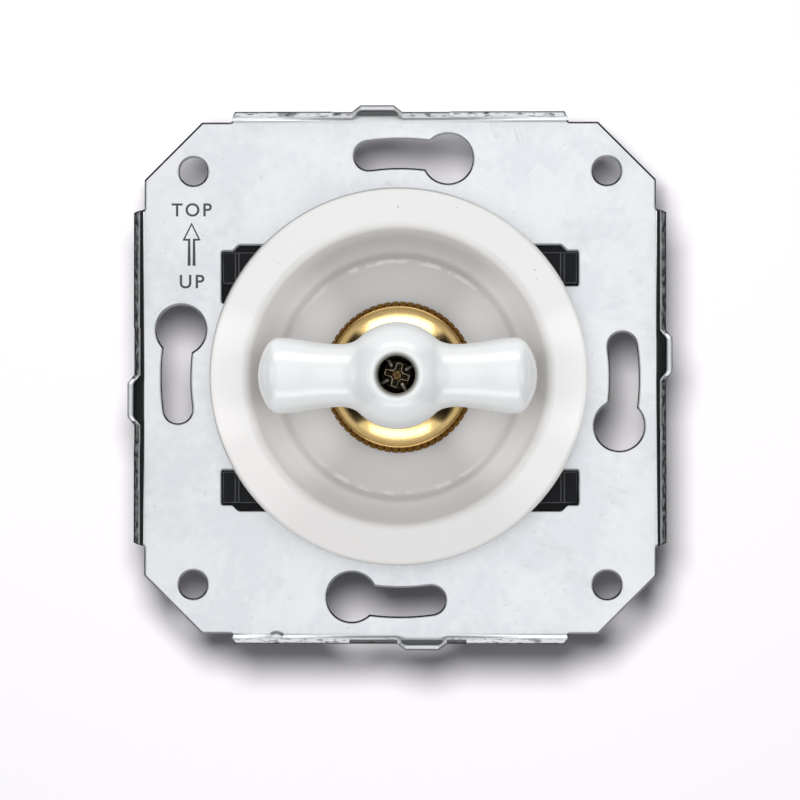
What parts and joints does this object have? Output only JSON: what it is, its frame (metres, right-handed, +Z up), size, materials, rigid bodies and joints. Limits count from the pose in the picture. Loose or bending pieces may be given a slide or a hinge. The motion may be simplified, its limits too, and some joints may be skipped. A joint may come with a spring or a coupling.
{
  "type": "rotary lever light switch",
  "caption": "Flush rotary light switch on a square steel support plate, with a porcelain bowl, a brass ring nut and a two-armed porcelain lever.",
  "frame": {"origin": "on the spindle axis, in the plane of the support plate's rear face, which lies on the wall", "axes": "+Z up on the wall as the plate's arrow points, +X right seen from the front, +Y into the wall, so the lever faces -Y"},
  "size_m": [0.0726, 0.0402, 0.0726],
  "materials": {
    "zinc_sheet": "dull zinc-plated sheet steel",
    "bowl_porcelain": "glazed, faintly warm grey white",
    "lever_porcelain": "glossy, faintly bluish white glaze",
    "polished_brass": "polished, darker in the knurling",
    "turned_brass": "turned",
    "contact_brass": "stamped",
    "spring_bronze": "rolled bronze strip",
    "silver_contact": "silver contact face",
    "dark_screw": "dark burnished steel",
    "zinc_screw": "zinc-plated",
    "spring_steel": "hardened spring steel",
    "black_plastic": "moulded black thermoplastic",
    "cream_plastic": "moulded natural thermoplastic",
    "fibre": "punched vulcanised fibre"
  },
  "bodies": {
    "fixed_parts": {"support_plate": "zinc_sheet", "porcelain_bowl": "bowl_porcelain", "bowl_washer": "fibre", "ring_nut": "polished_brass", "threaded_bush": "turned_brass", "mechanism_housing": "black_plastic", "rear_cover": "black_plastic", "cover_screws": "zinc_screw", "fixed_rivets": "silver_contact", "common_contact": "contact_brass", "contact_one": "contact_brass", "contact_two": "contact_brass", "detent_spring_upper": "spring_steel", "detent_spring_lower": "spring_steel", "terminal_clamps": "contact_brass", "terminal_screws": "zinc_screw"},
    "lever": {"lever_handle": "lever_porcelain", "handle_washer": "fibre", "handle_screw": "dark_screw", "spindle": "turned_brass", "spindle_clip": "spring_steel", "rotor": "cream_plastic", "contact_bridge": "spring_bronze", "bridge_rivets": "silver_contact"}
  },
  "joints": [
    {"name": "lever_turn", "type": "hinge", "parent": "fixed_parts", "child": "lever", "pos_m": [0, -0.0136, 0], "axis": [0, 1, 0], "continuous": true, "deforming": ["detent_spring_upper", "detent_spring_lower"]}
  ]
}
